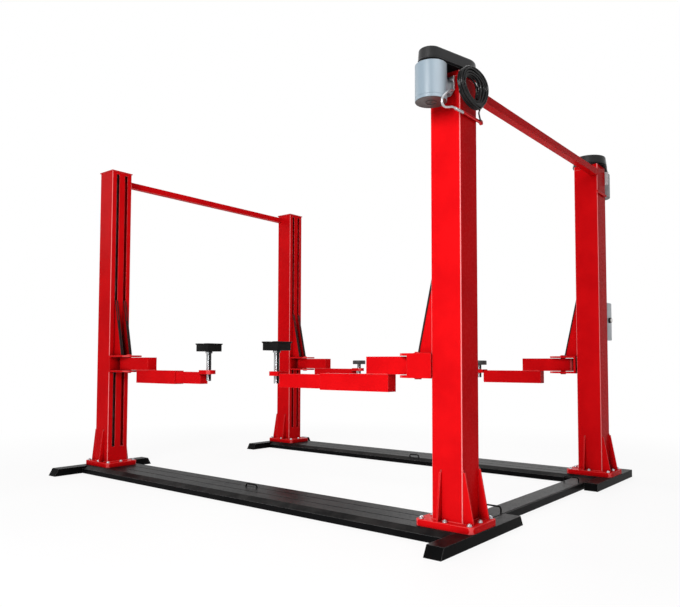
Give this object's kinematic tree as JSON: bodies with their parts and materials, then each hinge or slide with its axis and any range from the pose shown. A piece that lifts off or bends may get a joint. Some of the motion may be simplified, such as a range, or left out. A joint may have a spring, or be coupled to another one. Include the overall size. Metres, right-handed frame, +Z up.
{
  "type": "four-post vehicle lift",
  "caption": "Twin two-column screw lift joined as a four-post vehicle lift, with swinging telescopic arms, lifting pads, belt-driven screws and low floor covers.",
  "frame": {"origin": "on the floor, in the middle of the four columns", "axes": "+X along each lift from the left to the right columns, where the drives are; +Y from the front lift to the rear lift; +Z up"},
  "size_m": [3.7558, 3.132, 2.606],
  "materials": {
    "red_paint": "gloss",
    "black_paint": "gloss",
    "black_plastic": "satin",
    "blue_grey_paint": "satin",
    "zinc": "satin",
    "bright_steel": "satin",
    "grey_plastic": "satin",
    "black_rubber": "matte"
  },
  "bodies": {
    "frame": {"column_front_left": "red_paint", "base_plate_front_left": "red_paint", "foot_front_left": "black_paint", "lift_screw_front_left": "bright_steel", "column_front_right": "red_paint", "base_plate_front_right": "red_paint", "foot_front_right": "black_paint", "lift_screw_front_right": "bright_steel", "column_rear_left": "red_paint", "base_plate_rear_left": "red_paint", "foot_rear_left": "black_paint", "lift_screw_rear_left": "bright_steel", "column_rear_right": "red_paint", "base_plate_rear_right": "red_paint", "foot_rear_right": "black_paint", "lift_screw_rear_right": "bright_steel", "base_cover_front": "black_paint", "belt_cover_front": "black_plastic", "motor_front": "blue_grey_paint", "motor_bracket_front": "zinc", "tension_rod_front": "red_paint", "base_cover_rear": "black_paint", "belt_cover_rear": "black_plastic", "motor_rear": "blue_grey_paint", "motor_bracket_rear": "zinc", "tension_rod_rear": "red_paint", "link_cover": "black_paint", "cover_handles": "black_paint", "tie_bar_left": "red_paint", "tie_bar_right": "red_paint", "control_box": "grey_plastic", "cable_coil": "black_rubber", "cable_tail": "black_rubber"},
    "carriage_front_left": {"carriage_front_left": "red_paint"},
    "arm_front_left": {"arm_front_left": "red_paint"},
    "extension_front_left": {"extension_front_left": "red_paint"},
    "pad_front_left": {"pad_front_left": "black_paint"},
    "carriage_front_right": {"carriage_front_right": "red_paint"},
    "arm_front_right": {"arm_front_right": "red_paint"},
    "extension_front_right": {"extension_front_right": "red_paint"},
    "pad_front_right": {"pad_front_right": "black_paint"},
    "carriage_rear_left": {"carriage_rear_left": "red_paint"},
    "arm_rear_left": {"arm_rear_left": "red_paint"},
    "extension_rear_left": {"extension_rear_left": "red_paint"},
    "pad_rear_left": {"pad_rear_left": "black_rubber"},
    "carriage_rear_right": {"carriage_rear_right": "red_paint"},
    "arm_rear_right": {"arm_rear_right": "red_paint"},
    "extension_rear_right": {"extension_rear_right": "red_paint"},
    "pad_rear_right": {"pad_rear_right": "black_rubber"}
  },
  "joints": [
    {"name": "lift_front_left", "type": "slide", "parent": "frame", "child": "carriage_front_left", "axis": [0, 0, 1], "range_m": [-0.62, 0.95]},
    {"name": "swing_front_left", "type": "hinge", "parent": "carriage_front_left", "child": "arm_front_left", "pos_m": [-1.449, -1.105, 0.925], "axis": [0, 0, -1], "range_deg": [-90, 90]},
    {"name": "reach_front_left", "type": "slide", "parent": "arm_front_left", "child": "extension_front_left", "axis": [1, 0.007, 0], "range_m": [-0.293, 0.127]},
    {"name": "pad_height_front_left", "type": "slide", "parent": "extension_front_left", "child": "pad_front_left", "axis": [0, 0, 1], "range_m": [-0.11, 0.045]},
    {"name": "lift_front_right", "type": "slide", "parent": "frame", "child": "carriage_front_right", "axis": [0, 0, 1], "range_m": [-0.62, 0.95]},
    {"name": "swing_front_right", "type": "hinge", "parent": "carriage_front_right", "child": "arm_front_right", "pos_m": [1.449, -1.105, 0.925], "axis": [0, 0, 1], "range_deg": [-90, 55]},
    {"name": "reach_front_right", "type": "slide", "parent": "arm_front_right", "child": "extension_front_right", "axis": [-0.9988, -0.0489, 0], "range_m": [-0.342, 0.078]},
    {"name": "pad_height_front_right", "type": "slide", "parent": "extension_front_right", "child": "pad_front_right", "axis": [0, 0, 1], "range_m": [-0.11, 0.045]},
    {"name": "lift_rear_left", "type": "slide", "parent": "frame", "child": "carriage_rear_left", "axis": [0, 0, 1], "range_m": [-0.62, 0.95]},
    {"name": "swing_rear_left", "type": "hinge", "parent": "carriage_rear_left", "child": "arm_rear_left", "pos_m": [-1.449, 1.105, 0.925], "axis": [0, 0, 1], "range_deg": [-90, 90]},
    {"name": "reach_rear_left", "type": "slide", "parent": "arm_rear_left", "child": "extension_rear_left", "axis": [0.9998, 0.0192, 0], "range_m": [0, 0.42]},
    {"name": "pad_height_rear_left", "type": "slide", "parent": "extension_rear_left", "child": "pad_rear_left", "axis": [0, 0, 1], "range_m": [0, 0.045]},
    {"name": "lift_rear_right", "type": "slide", "parent": "frame", "child": "carriage_rear_right", "axis": [0, 0, 1], "range_m": [-0.62, 0.95]},
    {"name": "swing_rear_right", "type": "hinge", "parent": "carriage_rear_right", "child": "arm_rear_right", "pos_m": [1.449, 1.105, 0.925], "axis": [0, 0, -1], "range_deg": [-90, 90]},
    {"name": "reach_rear_right", "type": "slide", "parent": "arm_rear_right", "child": "extension_rear_right", "axis": [-0.9977, -0.068, 0], "range_m": [0, 0.42]},
    {"name": "pad_height_rear_right", "type": "slide", "parent": "extension_rear_right", "child": "pad_rear_right", "axis": [0, 0, 1], "range_m": [0, 0.045]}
  ],
  "couplings": [
    {"joint": "lift_front_left", "follows": "lift_front_right", "ratio": 1},
    {"joint": "lift_rear_left", "follows": "lift_front_right", "ratio": 1},
    {"joint": "lift_rear_right", "follows": "lift_front_right", "ratio": 1}
  ]
}
